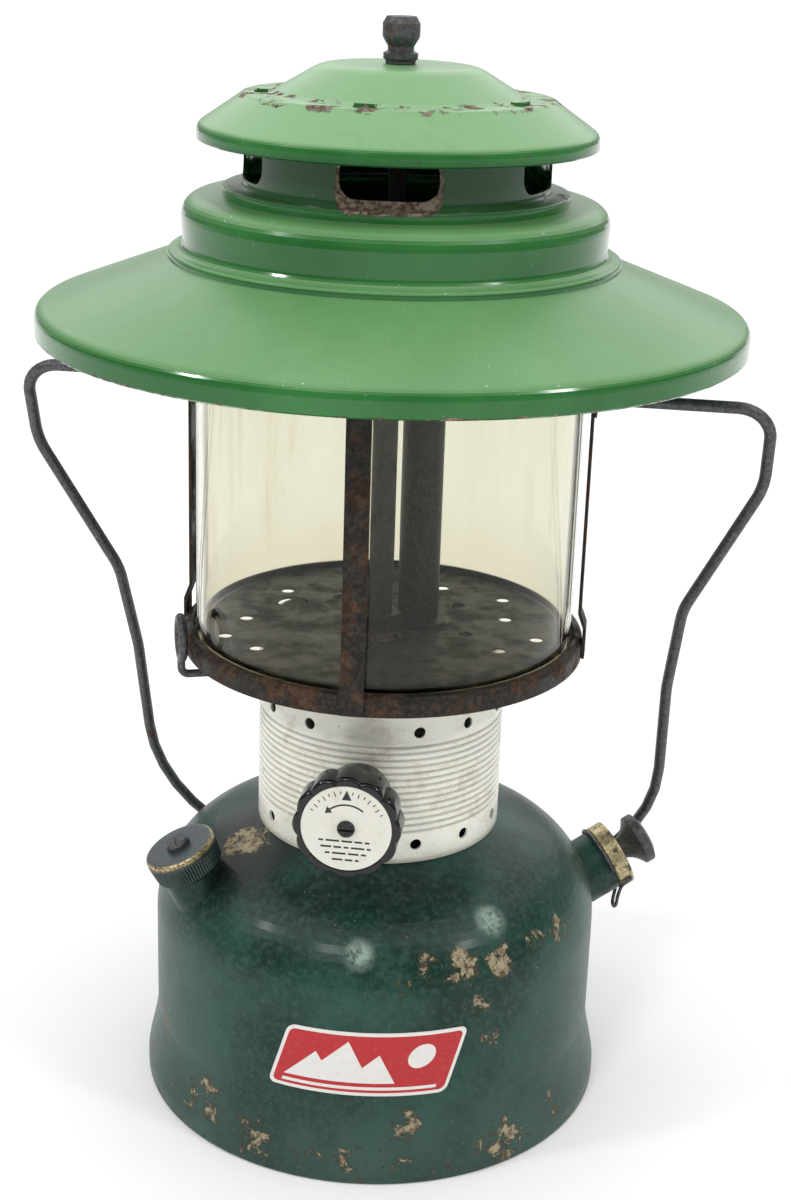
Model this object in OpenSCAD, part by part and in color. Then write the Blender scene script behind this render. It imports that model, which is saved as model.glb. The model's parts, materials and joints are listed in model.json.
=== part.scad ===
// Two-mantle pressure camping lantern with a wide enamelled reflector hat.
// Origin: centre of the foot, on the surface it stands on. +Z up, the control knob faces -Y.

/* [Tank] */
// Outer radius of the fuel tank
tank_r = 75.7; // [75:0.1:77]
// Height where the tank's straight side ends and its shoulder begins
tank_side_h = 61.2; // [58:0.2:64]
// Radius of the rounded shoulder
shoulder_r = 31; // [29:0.5:32]
// Radius of the flared foot
foot_r = 79.2; // [79:0.1:81]

/* [Collar] */
// Outer radius of the ribbed collar
collar_r = 41; // [40:0.2:42]
// Height of the collar's lower edge
collar_z = 96.2; // [96.1:0.05:96.5]

/* [Burner plate] */
// Height of the plate's floor
plate_z = 163.9; // [163.5:0.1:164.5]
// Outer radius of the plate's rolled rim
plate_r = 66; // [65.8:0.1:66.4]

/* [Globe] */
// Outer radius of the glass globe
globe_r = 62; // [61:0.5:62]
// Height of the glass globe
globe_h = 117; // [110:1:118]
// Thickness of the glass
glass_t = 2.2; // [2:0.1:3]

/* [Hat] */
// Radius of the shade at its rim
shade_r = 111.3; // [108:0.5:112]
// Height of the lower edge of the shade's rim
shade_z = 262.4; // [262:0.2:264]
// Outer radius of the drum above the shade
drum_r = 66.2; // [65.6:0.1:66.4]
// Height of the drum's top
drum_top_z = 304.6; // [304:0.2:305]
// Outer radius of the vent collar
vent_r = 47.4; // [46:0.2:48]
// Outer radius of the cap
cap_r = 61.5; // [60:0.5:63]
// Number of vent windows
vent_windows = 5; // [4:1:6]

/* [Controls] */
// Height of the control knob's axis
knob_z = 123; // [121:0.5:125]
// Outer radius of the scalloped knob
knob_r = 17; // [15:0.5:18]
// Height of the cleaner lever's axis
lever_z = 153.5; // [152:0.5:154]

/* [Bail] */
// Radius of the bail's wire
bail_wire_r = 2; // [1.8:0.1:2.2]
// Height of the pivots
bail_z = 245; // [243:1:247]
// Length of the bail from pivot to grip
bail_len = 228; // [224:1:232]
// Angle behind vertical at which the lowered bail rests on the tank
bail_rest = 20.6; // [20:0.1:22]

/* [Pump] */
// Direction of the pump, counter-clockwise from +X
pump_az = 26.6; // [24:1:32]
// Elevation of the pump
pump_el = 26; // [22:1:28]

/* [Hidden] */
$fn = 64;
sheet_t = 0.9;
gap = 0.3;
fit = 0.07;
blue_green = [0.10, 0.27, 0.24];
hat_green = [0.16, 0.42, 0.26];
dull_alloy = [0.72, 0.71, 0.66];
dark_iron = [0.22, 0.20, 0.18];
rust_brown = [0.27, 0.20, 0.16];
brass = [0.66, 0.56, 0.32];
steel = [0.45, 0.46, 0.48];
bakelite = [0.05, 0.05, 0.055];
cream = [0.90, 0.87, 0.80];
glass_tint = [0.75, 0.78, 0.68, 0.35];

// ---------- outlines ----------
// Points of an arc, from angle a to angle b
function arc(cx, cy, r, a, b, n = 10) =
    [for (i = [0:n]) let (t = a + (b - a) * i / n) [cx + r * cos(t), cy + r * sin(t)]];
function unit_normal(a, b) = let (d = b - a) [-d[1], d[0]] / norm(d);
// The point i of line p, moved t to the line's left
function beside(p, i, t) =
    i == 0 ? p[0] + t * unit_normal(p[0], p[1]) :
    i == len(p) - 1 ? p[i] + t * unit_normal(p[i - 1], p[i]) :
    let (a = unit_normal(p[i - 1], p[i]), b = unit_normal(p[i], p[i + 1])) p[i] + t * (a + b) / (1 + a * b);
// A strip of thickness t along line p, on its left side
function strip(p, t) = concat(p, [for (i = [len(p) - 1:-1:0]) beside(p, i, t)]);
// A turned sheet-metal part: its surface line p given as [radius, height], thickened by t
module spun(p, t = sheet_t) { rotate_extrude($fn = 96) polygon(strip(p, t)); }

module tube(r_out, r_in, z0, z1) {
    difference() {
        translate([0, 0, z0]) cylinder(r = r_out, h = z1 - z0);
        translate([0, 0, z0 - 1]) cylinder(r = r_in, h = z1 - z0 + 2);
    }
}
module rod(r, z0, z1) { translate([0, 0, z0]) cylinder(r = r, h = z1 - z0); }
module hex(af, z0, z1) { translate([0, 0, z0]) cylinder(r = af / sqrt(3), h = z1 - z0, $fn = 6); }

// ---------- wires ----------
// A round wire along flat points p, rounded at each inner point by radius r
function to_prev(p, i) = (p[i - 1] - p[i]) / norm(p[i - 1] - p[i]);
function to_next(p, i) = (p[i + 1] - p[i]) / norm(p[i + 1] - p[i]);
function half_turn(p, i) = acos(to_prev(p, i) * to_next(p, i)) / 2;
function cut_back(p, r, i) = (i == 0 || i == len(p) - 1) ? 0 : r[i] / tan(half_turn(p, i));
function heading(v) = atan2(v[1], v[0]);
module wire(p, r, wr) {
    for (i = [0:len(p) - 2]) {
        d = to_next(p, i);
        a = p[i] + d * cut_back(p, r, i);
        b = p[i + 1] - d * cut_back(p, r, i + 1);
        if (norm(b - a) > 0.01)
            translate([a[0], a[1], 0]) rotate([0, 0, heading(d)]) rotate([0, 90, 0])
                cylinder(r = wr, h = norm(b - a), $fn = 24);
    }
    for (i = [1:len(p) - 2]) {
        mid = to_prev(p, i) + to_next(p, i);
        c = p[i] + mid / norm(mid) * r[i] / sin(half_turn(p, i));
        sweep = 180 - 2 * half_turn(p, i);
        translate([c[0], c[1], 0]) rotate([0, 0, heading(-mid) - sweep / 2])
            rotate_extrude(angle = sweep, $fn = 48) translate([r[i], 0]) circle(r = wr, $fn = 24);
    }
}

// ---------- places ----------
// Axis of the filler: +Z outward, 0 at the cap's top face
module at_filler() { translate([-60.2, -40.6, 96.1]) rotate([0, 0, -68.5]) rotate([24, 0, 0]) children(); }
// Axis of the pump: +Z outward, 0 near the lantern's axis
module at_pump() { translate([0, 0, 22.5]) rotate([0, 0, pump_az]) rotate([0, 90 - pump_el, 0]) translate([0, 0, 4.7]) children(); }
// Axis of the control knob: +Z toward -Y, 0 on the lantern's axis
module at_knob() { translate([0, 0, knob_z]) rotate([90, 0, 0]) children(); }
// Upright axis of the generator
gen_y = -9;
gen_r = 4;
module at_generator() { translate([0, gen_y, 0]) children(); }
// Axis of the cleaner lever: +Z outward, 0 on the generator's axis, +X up
lever_az = 200.8;
module at_lever() { translate([0, gen_y, lever_z]) rotate([0, 0, lever_az]) rotate([0, 90, 0]) rotate([0, 0, 180]) children(); }
module at_air_tube() { translate([10.6, 6, 0]) children(); }
// Frame of the bail: flat points are [across, down the leg]
module at_bail() { translate([0, 0, bail_z]) rotate([-90 + bail_rest, 0, 0]) children(); }

// ---------- tank ----------
tank_top_z = 97.6;
tank_line = concat([[tank_r, 3], [tank_r, 20]],
                   arc(tank_r - shoulder_r, tank_side_h, shoulder_r, 0, 69, 14),
                   [[36.2, tank_top_z], [9.3, tank_top_z]]);
module tank_shell() {
    color(blue_green) difference() {
        spun(tank_line, 1);
        at_filler() rod(9.86, -30, 0);
        at_pump() rod(11.46, 60, 100);
    }
}
module tank_bottom() {
    color(dark_iron) spun([[73.75, 16], [73.75, 6.6], [72.4, 5], [68, 5], [55, 9], [0, 9]]);
}
module base_skirt() {
    // The sheet thins towards its upper edge, which lies close on the tank
    color(blue_green) rotate_extrude($fn = 96)
        polygon([[74, 0], [foot_r - 1, 0], [foot_r, 1], [foot_r, 6], [78.1, 12.5], [76.9, 17.5], [76.05, 23],
                 [tank_r + 0.08, 23], [tank_r + 0.08, 17.5], [77.1, 12], [foot_r - 1, 5.8], [foot_r - 1, 1.4], [74, 0.9]]);
}
label_w = 58.5;
label_h = 23;
label_lean = 7;
label_z = 43;
module tank_label() {
    color([0.55, 0.12, 0.09]) rotate([0, 0, 7]) intersection() {
        tube(tank_r + 0.5, tank_r + 0.03, 20, 60);
        translate([0, -60, label_z]) rotate([90, 0, 0]) linear_extrude(height = 30) leaning_plate();
    }
}
function corner(x, y, a) = arc(x, y, 2.5, a, a + 90, 6);
module leaning_plate() {
    x = label_w / 2 - 2.5;
    y = label_h / 2 - 2.5;
    edge = concat(corner(x, y, 0), corner(-x, y, 90), corner(-x, -y, 180), corner(x, -y, 270));
    polygon([for (p = edge) [p[0] + label_lean * p[1] / label_h, p[1]]]);
}
module rounded_plate(w, h, r) {
    square([w - 2 * r, h], center = true);
    square([w, h - 2 * r], center = true);
    for (x = [-1, 1], y = [-1, 1]) translate([x * (w / 2 - r), y * (h / 2 - r)]) circle(r = r, $fn = 24);
}

// ---------- filler ----------
filler_cap_h = 9.4;
module filler_neck() { color(blue_green) at_filler() tube(9.8, 8, -25, -4.2); }
module filler_gasket() { color(bakelite) at_filler() tube(9.3, 3.6, -4.15, -3.1); }
module filler_insert() {
    color(brass) at_filler() difference() {
        union() {
            rod(9.3, -3.05, -1.9);
            rod(3.5, -12, -3);
        }
        rod(2 + fit, -10.5, 0);
    }
}
module filler_cap() {
    color(blue_green) at_filler() difference() {
        rotate_extrude() polygon([[0, 0], [11.3, 0], [12, -0.8], [12, 0.8 - filler_cap_h], [11.4, -filler_cap_h], [0, -filler_cap_h]]);
        rod(10.15, -filler_cap_h - 1, -1.5);
        rod(2.05, -3, 1);
    }
}
module filler_screw() {
    color(steel) at_filler() difference() {
        union() {
            rotate_extrude() polygon([[0, 0.05], [4, 0.05], [4, 1.6], [3.4, 2.3], [0, 2.3]]);
            rod(2, -10, 0.1);
        }
        translate([-5, -0.5, 1.3]) cube([10, 1, 2]);
    }
}

// ---------- pump ----------
module pump_neck() { color(blue_green) at_pump() tube(11.4, 10.05, 70, 91.8); }
module pump_barrel() {
    color(brass) at_pump() {
        tube(10, 9.2, 14, 96.2);
        tube(9.2, 4.05, 14, 15.5);
    }
}
module check_valve() { color(brass) at_pump() difference() { rod(4, 9, 16.5); rod(1.5, 10.5, 20); } }
module air_stem() { color(steel) at_pump() rod(1.4, 11, 88); }
module pump_cup() {
    color([0.35, 0.22, 0.12]) at_pump() difference() {
        rotate_extrude() polygon([[0, 21.6], [6, 21.6], [8.6, 19.4], [9.14, 17.6], [9.14, 22], [8.4, 23.2], [0, 23.2]]);
        rod(3 + fit, 17, 24);
    }
}
spring_turns = 4;
function spring_point(i) = let (a = i * 20) [4.4 * cos(a), 4.4 * sin(a), 24 + i * 20 / 360 * 2.6];
module pump_spring() {
    color(steel) at_pump() sweep([for (i = [0:spring_turns * 18]) spring_point(i)], 0.6);
}
// A thin round tube along 3-D points, with flat ends
function ring_at(p, i, r, n) =
    let (t = p[min(i + 1, len(p) - 1)] - p[max(i - 1, 0)], d = t / norm(t),
         u0 = cross(d, [0, 0, 1]), u = u0 / norm(u0), v = cross(u, d))
    [for (k = [0:n - 1]) p[i] + r * (u * cos(k * 360 / n) + v * sin(k * 360 / n))];
module sweep(p, r, n = 8) {
    m = len(p);
    points = [for (i = [0:m - 1]) each ring_at(p, i, r, n)];
    sides = [for (i = [0:m - 2], k = [0:n - 1]) [i * n + k, i * n + (k + 1) % n, (i + 1) * n + (k + 1) % n, (i + 1) * n + k]];
    start = [for (k = [n - 1:-1:0]) k];
    end = [for (k = [0:n - 1]) (m - 1) * n + k];
    polyhedron(points, concat([start, end], sides));
}
module pump_rod() { color(steel) at_pump() tube(3, 1.7, 16.8, 104); }
module pump_cap() {
    color(brass) at_pump() difference() {
        rotate_extrude() polygon([[0, 92.1], [11.8, 92.1], [12.2, 92.6], [12.2, 97.4], [11.6, 98], [0, 98]]);
        rod(10.04, 90, 96.3);
        rod(3 + fit, 95, 99);
    }
}
clip_r = 12.1;
clip_wire = 0.65;
module pump_clip() {
    color(dark_iron) at_pump() rotate([0, 0, -10]) {
        translate([0, 0, 91.3]) rotate_extrude(angle = 300) translate([clip_r, 0]) circle(r = clip_wire, $fn = 16);
        for (a = [0, 300]) rotate([0, 0, a]) translate([clip_r + 0.8, 0, 91.3]) rod(clip_wire, 0, 3.5);
    }
}
module pump_knob() {
    color(dark_iron) at_pump() difference() {
        rotate_extrude() polygon([[0, 98.3], [3.6, 98.3], [4, 99.6], [4.9, 101.4], [6.3, 103.2], [8.1, 104.6], [9.1, 105.5],
                                  [9.3, 106.1], [9.3, 108.2], [8.9, 109], [6.4, 109.9], [3, 110.4], [0, 110.5]]);
        rod(3, 90, 104);
    }
}

// ---------- valve ----------
module pickup_tube() { color(brass) tube(3, 2.2, 13, 100); }
module valve_body() {
    color(brass) difference() {
        union() {
            rod(9.2, 92, 97.7);
            hex(22, 97.65, 106);
            rod(8, 106, 131);
            at_knob() rod(7, 0, 29);
            at_generator() rod(5.5, 118, 147);
            at_generator() rod(7, 146.5, 165);
        }
        rod(3 + 0.02, 80, 100.2);
        at_knob() rod(2.5 + fit, 13, 40);
        at_generator() rod(1.2, 128, 170);
        at_lever() rod(1.9, -4.5, 10);
    }
}
module packing_nut() { color(brass) at_knob() difference() { hex(13, 29.05, 36); rod(2.5 + fit, 28, 40); } }
module valve_stem() { color(steel) at_knob() rod(2.5, 14, 66); }
knob_face = 71;
module control_knob() {
    color(bakelite) at_knob() difference() {
        union() {
            rod(10.6, 44.5, 62);
            difference() {
                rod(knob_r, 61, knob_face);
                for (k = [0:11]) rotate([0, 0, 30 * k + 15]) translate([knob_r + 2.6, 0, 0]) rod(3.6, 60, 72);
            }
        }
        rod(2.5, 40, 66);
        rod(14.2, knob_face - 0.5, 72);
        rod(1.5, 60, 72);
    }
}
module knob_disc() { color(cream) at_knob() tube(14.1, 2.75, 70.5, 71); }
module knob_screw() {
    color(steel) at_knob() difference() {
        union() {
            rotate_extrude() polygon([[0, 70.5], [2.7, 70.5], [2.7, 71.6], [2, 72.4], [0, 72.4]]);
            rod(1.5, 66, 70.6);
        }
        translate([-4, -0.4, 71.5]) cube([8, 0.8, 2]);
    }
}

// ---------- collar and burner plate ----------
rib_pitch = 2.3;
rib_z0 = 106;
rib_count = 14;
collar_line = concat([[collar_r, collar_z]],
                     [for (i = [0:rib_count - 1]) each [[collar_r, rib_z0 + rib_pitch * (i + 0.15)],
                                                        [collar_r - 0.35, rib_z0 + rib_pitch * (i + 0.5)],
                                                        [collar_r, rib_z0 + rib_pitch * (i + 0.85)]]],
                     [[collar_r, plate_z - sheet_t - 0.1]]);
collar_holes = 14;
module collar() {
    color(dull_alloy) difference() {
        spun(collar_line, 0.8);
        for (k = [1:collar_holes - 1], z = [102.5, 142])
            rotate([0, 0, k * 360 / collar_holes]) translate([0, -collar_r - 3, z]) rotate([-90, 0, 0])
                cylinder(r = 1.9, h = 8, $fn = 24);
        at_knob() rod(4, 30, 50);
        at_lever() rod(2.6, 24, 46);
    }
}
plate_line = concat([[plate_r, 158.2], [plate_r, 162.8]], arc(plate_r - 2.4, 162.8, 2.4, 15, 105, 6),
                    [[62.9, plate_z], [0, plate_z]]);
// Turn from the front and distance from the axis of each small hole in the plate
plate_holes = [[-160, 46], [-142, 30], [-125, 46], [-86, 46], [-67, 53], [-51, 47], [69, 42.5], [84, 28], [87, 51],
               [110, 42], [132, 50], [137, 33], [160, 44]];
module base_plate() {
    color(rust_brown) difference() {
        spun(plate_line, 0.6);
        at_generator() rod(7.15, 150, 170);
        at_air_tube() rod(5.6, 150, 170);
        rotate([0, 0, -114]) translate([0, -36.6, 150]) cylinder(r = 5.2, h = 20);
        for (h = plate_holes) rotate([0, 0, h[0]]) translate([0, -h[1], 150]) cylinder(r = 2.3, h = 20, $fn = 24);
    }
}

// ---------- cage ----------
strap_w = 7.5;
strap_t = 1;
strap_top = 286;
cage_r = 64.2;
ear_r = 6;
module strap() {
    out = plate_r + 0.05;
    side = [[out, 158.6], [out, 169], [cage_r, 174], [cage_r, strap_top]];
    rotate([0, 0, -90]) rotate([90, 0, 0]) linear_extrude(height = strap_w, center = true)
        polygon(strip(side, -strap_t));
}
module ear_strap() {
    rotate([0, 0, 90]) difference() {
        union() {
            strap();
            translate([0, -cage_r, bail_z]) rotate([90, 0, 0]) cylinder(r = ear_r, h = 1.8);
        }
        translate([0, -cage_r + 1, bail_z]) rotate([90, 0, 0]) cylinder(r = bail_wire_r - 0.1 + fit, h = 6);
    }
}
module strap_front() { color(rust_brown) strap(); }
module strap_back() { color(rust_brown) rotate([0, 0, 180]) strap(); }
module strap_right() { color(rust_brown) ear_strap(); }
module strap_left() { color(rust_brown) mirror([1, 0, 0]) ear_strap(); }
module cage_ring() { color(dark_iron) tube(cage_r - 0.02, cage_r - 1, 283, 290); }

// ---------- glass and burner ----------
module globe() { color(glass_tint) tube(globe_r, globe_r - glass_t, plate_z + 0.1, plate_z + 0.1 + globe_h, $fn = 96); }
module air_tube() {
    color(steel) at_air_tube() {
        tube(9.4, 6, plate_z + 0.05, 165.4);
        tube(6.8, 6, 165.4, 250);
    }
}
module generator_nut() { color(brass) at_generator() difference() { hex(12.4, 165.05, 172); rod(gen_r + 0.02, 160, 180); } }
module generator() { color(brass) at_generator() tube(gen_r, 2, 165.05, 258); }
module cleaning_needle() { color(steel) at_generator() rod(0.9, 157, 255); }
// The finger loop stands just outside the plate's rim
loop_r = 6.5;
loop_up = 6;
lever_reach = 65.2;
module cleaner_lever() {
    color(dark_iron) at_lever() {
        rotate([90, 0, 0]) wire([[0, 2.6], [0, lever_reach], [loop_up, lever_reach]], [0, 2.4, 0], 1.3);
        translate([loop_up + loop_r, 0, lever_reach]) rotate_extrude() translate([loop_r, 0]) circle(r = 1.45, $fn = 24);
    }
}
cup_x = 26;
module burner_head() {
    color(dark_iron) difference() {
        union() {
            at_air_tube() rod(8.4, 248, 262);
            translate([-cup_x, 0, 258]) rotate([0, 90, 0]) cylinder(r = 6.5, h = 2 * cup_x);
            for (s = [-1, 1]) translate([s * cup_x, 0, 0]) rod(7.2, 248, 264.5);
            at_generator() rod(6, 252, 262);
            rod(6, 258, 270);
        }
        at_air_tube() rod(6.82, 240, 250.05);
        at_generator() rod(gen_r + 0.02, 240, 258.05);
        for (s = [-1, 1]) translate([s * cup_x, 0, 0]) rod(5, 240, 258);
        rod(2.52, 262, 275);
    }
}
module burner_caps() {
    color(cream) for (s = [-1, 1]) translate([s * cup_x, 0, 0]) rotate_extrude()
        polygon([[5.1, 238], [7.4, 238], [7.4, 240.5], [6.6, 241.5], [6.6, 243.5], [9, 245], [9, 247.95], [5.1, 247.95]]);
}
module burner_screens() { color(steel) for (s = [-1, 1]) translate([s * cup_x, 0, 0]) rod(5, 241, 241.6); }
module center_stud() { color(steel) { rod(2.5, 262.1, 356); rod(5, 270.1, 272); } }

// ---------- hat ----------
rim_top = 267.6;
shade_line = concat([[shade_r - 1.8, shade_z + 0.6], [shade_r - 0.8, shade_z], [shade_r, shade_z + 0.6], [shade_r, rim_top]],
                    arc(shade_r - 4, rim_top, 4, 12, 68, 5),
                    [[70.4, 286.1]], arc(69.2, 287.2, 1.2, 0, 90, 4),
                    arc(68.4, 291, 2.6, 270, 180, 5),
                    arc(drum_r - 6, drum_top_z - 6, 6, 0, 90, 8),
                    [[42, drum_top_z]]);
module vent_shade() { color(hat_green) spun(shade_line, 0.8); }
module heat_shield() {
    color(steel) difference() {
        rod(64.7, 290.3, 291.1);
        rod(26, 280, 300);
        for (k = [0:9]) rotate([0, 0, 36 * k]) translate([0, -45, 280]) rod(4, 0, 20);
    }
}
vent_top = 334.2;
collar_foot = drum_top_z + 0.05;
vent_line = concat([[53.6, collar_foot], [53.6, collar_foot + 2.2]], arc(52.8, collar_foot + 2.2, 0.8, 0, 90, 3),
                   arc(vent_r + 1.6, collar_foot + 4.6, 1.6, 270, 180, 4),
                   [[vent_r, 324], [46, vent_top], [39.5, vent_top]]);
window_w = 28.8;
window_turn = 5;
window_z0 = 310;
window_z1 = 322.5;
tab_turn = -5.6;
module per_window(turn) { for (k = [0:vent_windows - 1]) rotate([0, 0, turn + k * 360 / vent_windows]) children(); }
module vent_collar() {
    color(hat_green) difference() {
        spun(vent_line, 0.8);
        per_window(window_turn) translate([0, -38, (window_z0 + window_z1) / 2]) rotate([90, 0, 0])
            linear_extrude(height = 14) rounded_plate(window_w, window_z1 - window_z0, 5);
    }
    color(rust_brown) per_window(tab_turn) {
        translate([-3, -43.2, vent_top - 0.1]) cube([6, 0.7, 2.4]);
        translate([-3, -43.2, vent_top + 1.45]) cube([6, 3.4, 0.7]);
    }
}
cap_top = 344.3;
ledge_z = 335.4;
cap_line = concat([[cap_r - 0.7, 321.2], [cap_r, 321.7]], arc(cap_r - 3.4, 323.8, 3.4, 0, 55, 5),
                  arc(46.7, ledge_z - 2, 2, 40, 90, 3), [[39.5, ledge_z], [37.8, 336.1]],
                  arc(20.5, cap_top - 12, 12, 60, 90, 5), [[3.2, cap_top]]);
module vent_cap() {
    color(hat_green) difference() {
        spun(cap_line, 0.8);
        per_window(tab_turn) translate([-3.6, -43.9, 330]) cube([7.2, 2.1, 10]);
    }
}
nut_z = 344.5;
module ball_nut() {
    color(steel) difference() {
        rotate_extrude() polygon([[0, nut_z], [4.6, nut_z], [4.6, 345.3], [5.3, 346], [5.3, 347.6], [4, 348.2],
                                  [4, 349.5], [5.5, 351.9], [5.7, 352.6], [5.7, 356.2], [4.5, 358.2], [0, 358.4]]);
        rod(2.5 + fit, 340, 356.3);
    }
}

// ---------- bail ----------
grip_r = 68;
leg_x = 95.5;
shoulder_x = 120.5;
pin_in = 63;
pin_out = 108;
bail_line = [[-pin_out, 0], [-shoulder_x, 0], [-shoulder_x, 30], [-98.5, 84], [-leg_x, 120], [-leg_x, bail_len],
             [leg_x, bail_len], [leg_x, 120], [98.5, 84], [shoulder_x, 30], [shoulder_x, 0], [pin_out, 0]];
bail_bends = [0, 11, 30, 30, 60, grip_r, grip_r, 60, 30, 30, 11, 0];
bail_steps = [0, 7, 3, 3, 2, 12, 12, 2, 3, 3, 7, 0];
// Points of line p with the corner at point i rounded by radius r, in n steps
function rounded_corner(p, i, r, n) =
    n == 0 ? [p[i]] :
    let (mid = to_prev(p, i) + to_next(p, i), c = p[i] + mid / norm(mid) * r / sin(half_turn(p, i)),
         side = cross(p[i] - p[i - 1], p[i + 1] - p[i]) > 0 ? 1 : -1, h = side * (90 - half_turn(p, i)), a = heading(-mid))
    arc(c[0], c[1], r, a - h, a + h, n);
bail_path = [for (i = [0:len(bail_line) - 1]) each rounded_corner(bail_line, i, bail_bends[i], bail_steps[i])];
module bail() {
    color(dark_iron) at_bail() {
        sweep([for (q = bail_path) [q[0], q[1], 0]], bail_wire_r, 12);
        for (s = [-1, 1]) translate([s * pin_in, 0, 0]) rotate([0, s * 90, 0])
            cylinder(r = bail_wire_r - 0.1, h = pin_out - pin_in + 1);
    }
}

tank_shell();
tank_bottom();
base_skirt();
tank_label();
filler_neck();
filler_insert();
filler_gasket();
filler_cap();
filler_screw();
pump_neck();
pump_barrel();
check_valve();
air_stem();
pump_cup();
pump_spring();
pump_rod();
pump_cap();
pump_clip();
pump_knob();
pickup_tube();
valve_body();
packing_nut();
valve_stem();
control_knob();
knob_disc();
knob_screw();
collar();
base_plate();
cage_ring();
strap_front();
strap_back();
strap_left();
strap_right();
globe();
air_tube();
generator_nut();
generator();
cleaning_needle();
cleaner_lever();
burner_head();
burner_caps();
burner_screens();
center_stud();
heat_shield();
vent_shade();
vent_collar();
vent_cap();
ball_nut();
bail();
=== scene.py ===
"""Looks of a two-mantle camping lantern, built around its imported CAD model. Lengths are in metres."""

import json
import math

import bmesh
import bpy
from mathutils import Matrix, Vector


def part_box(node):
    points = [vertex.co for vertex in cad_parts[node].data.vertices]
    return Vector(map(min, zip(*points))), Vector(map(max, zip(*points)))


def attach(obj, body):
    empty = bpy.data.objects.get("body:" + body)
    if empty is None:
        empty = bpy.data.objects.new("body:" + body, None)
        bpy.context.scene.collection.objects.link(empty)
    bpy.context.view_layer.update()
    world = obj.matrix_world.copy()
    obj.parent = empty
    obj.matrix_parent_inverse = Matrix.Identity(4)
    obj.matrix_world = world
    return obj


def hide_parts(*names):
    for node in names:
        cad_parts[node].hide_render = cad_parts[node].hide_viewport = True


MM = 0.001

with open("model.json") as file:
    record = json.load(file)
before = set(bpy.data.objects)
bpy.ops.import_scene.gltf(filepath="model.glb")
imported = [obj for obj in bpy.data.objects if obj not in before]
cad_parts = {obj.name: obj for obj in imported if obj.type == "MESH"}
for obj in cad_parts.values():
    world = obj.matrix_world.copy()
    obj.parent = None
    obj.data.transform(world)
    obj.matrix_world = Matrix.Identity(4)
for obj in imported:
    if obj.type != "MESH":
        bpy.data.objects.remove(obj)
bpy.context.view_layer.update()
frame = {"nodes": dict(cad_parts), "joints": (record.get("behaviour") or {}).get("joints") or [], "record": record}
nodes = frame["nodes"]
joints = {j["name"]: j for j in frame["joints"]}
slots = {p["node"]: p["material_slot"] for p in frame["record"]["subparts"]}


# ---------- places taken from the frame ----------
def centre(node):
    low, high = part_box(node)
    return (low + high) / 2


def bottom(node):
    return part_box(node)[0].z


# ---------- materials ----------
class Surface:
    """A node material: one Principled shader, and short calls that add the nodes of its patterns."""

    def __init__(self, name, **sockets):
        self.material = bpy.data.materials.new(name)
        self.material.use_nodes = True
        self.tree = self.material.node_tree
        self.shader = self.tree.nodes["Principled BSDF"]
        self.place = self.add("TexCoord").outputs["Object"]
        for socket, value in sockets.items():
            self.shader.inputs[socket.replace("_", " ").title().replace("Ior", "IOR")].default_value = value

    def add(self, kind, settings=None, **sockets):
        node = self.tree.nodes.new("ShaderNode" + kind)
        for key, value in (settings or {}).items():
            setattr(node, key, value)
        for key, value in sockets.items():
            self.join(node.inputs[key.replace("_", " ").title()], value)
        return node

    def join(self, socket, value):
        if isinstance(value, bpy.types.NodeSocket):
            self.tree.links.new(value, socket)
        else:
            socket.default_value = value

    def maths(self, operation, a, b=0.0):
        node = self.add("Math", {"operation": operation})
        self.join(node.inputs[0], a)
        self.join(node.inputs[1], b)
        return node.outputs[0]

    def both(self, a, b):
        return self.maths("MULTIPLY", a, b)

    def either(self, a, b):
        return self.maths("MAXIMUM", a, b)

    def vector(self, operation, a, b):
        node = self.add("VectorMath", {"operation": operation})
        self.join(node.inputs[0], a)
        self.join(node.inputs[1], b)
        return node.outputs["Value"] if operation == "DISTANCE" else node.outputs["Vector"]

    def noise(self, size, detail=4.0, rough=0.55, stretch=(1, 1, 1), warp=0.0):
        """Cloudy noise whose features are about size across; stretch squeezes them along each axis."""
        where = self.vector("MULTIPLY", self.place, stretch)
        return self.add("TexNoise", vector=where, scale=1 / size, detail=detail, roughness=rough,
                        distortion=warp).outputs["Fac"]

    def ramp(self, value, low, high):
        """0 at low and 1 at high, with a smooth turn between them."""
        smooth = {"interpolation_type": "SMOOTHSTEP"}
        return self.add("MapRange", smooth, value=value, from_min=low, from_max=high).outputs["Result"]

    def scaled(self, value, low, high):
        """value from 0 to 1, moved to the range from low to high."""
        return self.add("MapRange", value=value, to_min=low, to_max=high).outputs["Result"]

    def axis(self, letter):
        return self.add("SeparateXYZ", vector=self.place).outputs[letter]

    def above(self, letter, low, high):
        """1 past high along an axis and 0 before low; with high before low, the other way round."""
        return self.ramp(self.axis(letter), low, high)

    def band(self, start, full, end, gone):
        """1 between the heights full and end in mm, and 0 below start and above gone."""
        return self.both(self.above("Z", start * MM, full * MM), self.above("Z", gone * MM, end * MM))

    def spot(self, point, inner, outer):
        """1 within inner of a point, fading to 0 at outer."""
        return self.ramp(self.vector("DISTANCE", self.place, tuple(point)), outer, inner)

    def mix(self, share, a, b):
        node = self.add("Mix", {"data_type": "RGBA"})
        self.join(node.inputs[0], share)
        for socket, value in ((node.inputs[6], a), (node.inputs[7], b)):
            self.join(socket, (*value, 1.0) if isinstance(value, tuple) else value)
        return node.outputs[2]

    def colour(self, value):
        self.join(self.shader.inputs["Base Color"], value)

    def rough(self, value):
        self.join(self.shader.inputs["Roughness"], value)

    def metal(self, value):
        self.join(self.shader.inputs["Metallic"], value)

    def bump(self, height, depth):
        """Raises the surface by height, from 0 to 1, times depth in metres."""
        node = self.add("Bump", strength=1.0, distance=depth, height=height)
        self.join(self.shader.inputs["Normal"], node.outputs["Normal"])


RUST = (0.085, 0.038, 0.018)
DARK_RUST = (0.030, 0.016, 0.010)
TAN = (0.36, 0.27, 0.15)


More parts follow.
